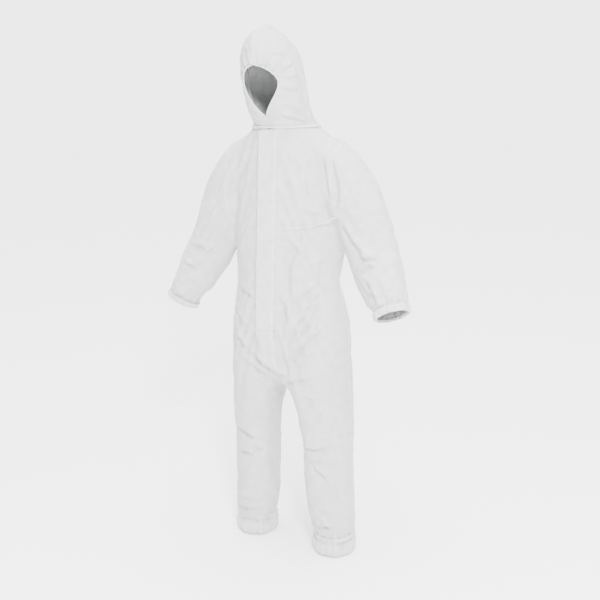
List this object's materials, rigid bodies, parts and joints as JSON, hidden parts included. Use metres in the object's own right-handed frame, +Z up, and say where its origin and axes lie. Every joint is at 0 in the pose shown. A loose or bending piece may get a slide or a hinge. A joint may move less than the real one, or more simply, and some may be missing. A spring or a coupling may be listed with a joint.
{
  "type": "chemical protective suit",
  "caption": "Hooded one-piece protective coverall of light white nonwoven cloth, with a front zip under a storm flap and elastic at face, wrists, waist and ankles.",
  "frame": {"origin": "on the floor midway between the ankles, below the neck", "axes": "+Z up, the front of the suit faces -Y, +X is the wearer's left"},
  "size_m": [0.9384, 0.358, 1.793],
  "materials": {
    "cloth": "matte",
    "hem_cloth": "matte",
    "elastic": "matte",
    "zip_tape": "matte",
    "zip_plastic": "satin"
  },
  "bodies": {
    "torso": {"front_panel_left": "cloth", "front_panel_right": "cloth", "chest_panel_left": "cloth", "chest_panel_right": "cloth", "back_panel": "cloth", "back_yoke": "cloth", "waist_elastic": "elastic", "zip_tape_left": "zip_tape", "zip_tape_right": "zip_tape", "zip_teeth_left": "zip_plastic", "zip_teeth_right": "zip_plastic", "zip_stops": "zip_plastic", "seat_section": "cloth", "flap_tail": "cloth", "collar_section": "cloth", "shoulder_section_left": "cloth", "shoulder_section_right": "cloth"},
    "hood": {"hood_panel_left": "cloth", "hood_panel_right": "cloth", "face_hem": "hem_cloth", "face_elastic": "elastic"},
    "storm_flap": {"storm_flap": "cloth"},
    "zip_slider": {"zip_slider": "zip_plastic"},
    "zip_pull": {"zip_pull": "zip_plastic"},
    "upper_sleeve_left": {"upper_sleeve_left": "cloth", "elbow_section_left": "cloth"},
    "lower_sleeve_left": {"lower_sleeve_left": "cloth", "cuff_hem_left": "hem_cloth", "cuff_elastic_left": "elastic"},
    "thigh_left": {"thigh_left": "cloth", "knee_section_left": "cloth"},
    "shin_left": {"shin_left": "cloth", "ankle_hem_left": "hem_cloth", "ankle_elastic_left": "elastic"},
    "upper_sleeve_right": {"upper_sleeve_right": "cloth", "elbow_section_right": "cloth"},
    "lower_sleeve_right": {"lower_sleeve_right": "cloth", "cuff_hem_right": "hem_cloth", "cuff_elastic_right": "elastic"},
    "thigh_right": {"thigh_right": "cloth", "knee_section_right": "cloth"},
    "shin_right": {"shin_right": "cloth", "ankle_hem_right": "hem_cloth", "ankle_elastic_right": "elastic"}
  },
  "joints": [
    {"name": "hood_fold", "type": "hinge", "parent": "torso", "child": "hood", "pos_m": [0, 0.06, 1.49], "axis": [-1, 0, 0], "range_deg": [0, 60], "deforming": ["collar_section"]},
    {"name": "flap_open", "type": "hinge", "parent": "torso", "child": "storm_flap", "pos_m": [0.0259, -0.13819, 1.18142], "axis": [0, 0.0847, 0.9964], "range_deg": [0, 105]},
    {"name": "zip_slide", "type": "slide", "parent": "torso", "child": "zip_slider", "axis": [0, -0.0847, -0.9964], "range_m": [0, 0.608]},
    {"name": "pull_swivel", "type": "hinge", "parent": "zip_slider", "child": "zip_pull", "pos_m": [0, -0.11116, 1.47117], "axis": [0, -0.9964, 0.0847], "range_deg": [-45, 45]},
    {"name": "shoulder_left", "type": "hinge", "parent": "torso", "child": "upper_sleeve_left", "pos_m": [0.19, 0.006, 1.37], "axis": [0, -1, 0], "range_deg": [0, 65], "deforming": ["shoulder_section_left"]},
    {"name": "elbow_left", "type": "hinge", "parent": "upper_sleeve_left", "child": "lower_sleeve_left", "pos_m": [0.31, 0, 1.118], "axis": [-0.8963, -0.2696, -0.352], "range_deg": [-15, 45], "deforming": ["elbow_section_left"]},
    {"name": "hip_left", "type": "hinge", "parent": "torso", "child": "thigh_left", "pos_m": [0.115, 0, 0.74], "axis": [-1, 0, 0], "range_deg": [-15, 60], "deforming": ["seat_section", "flap_tail"]},
    {"name": "knee_left", "type": "hinge", "parent": "thigh_left", "child": "shin_left", "pos_m": [0.148, 0, 0.44], "axis": [1, 0, 0], "range_deg": [0, 70], "deforming": ["knee_section_left"]},
    {"name": "shoulder_right", "type": "hinge", "parent": "torso", "child": "upper_sleeve_right", "pos_m": [-0.19, 0.006, 1.37], "axis": [0, 1, 0], "range_deg": [0, 65], "deforming": ["shoulder_section_right"]},
    {"name": "elbow_right", "type": "hinge", "parent": "upper_sleeve_right", "child": "lower_sleeve_right", "pos_m": [-0.306, 0, 1.114], "axis": [-0.8683, 0.3913, 0.305], "range_deg": [-15, 45], "deforming": ["elbow_section_right"]},
    {"name": "hip_right", "type": "hinge", "parent": "torso", "child": "thigh_right", "pos_m": [-0.115, 0, 0.74], "axis": [-1, 0, 0], "range_deg": [-15, 60], "deforming": ["seat_section", "flap_tail"]},
    {"name": "knee_right", "type": "hinge", "parent": "thigh_right", "child": "shin_right", "pos_m": [-0.148, 0, 0.44], "axis": [1, 0, 0], "range_deg": [0, 70], "deforming": ["knee_section_right"]}
  ]
}
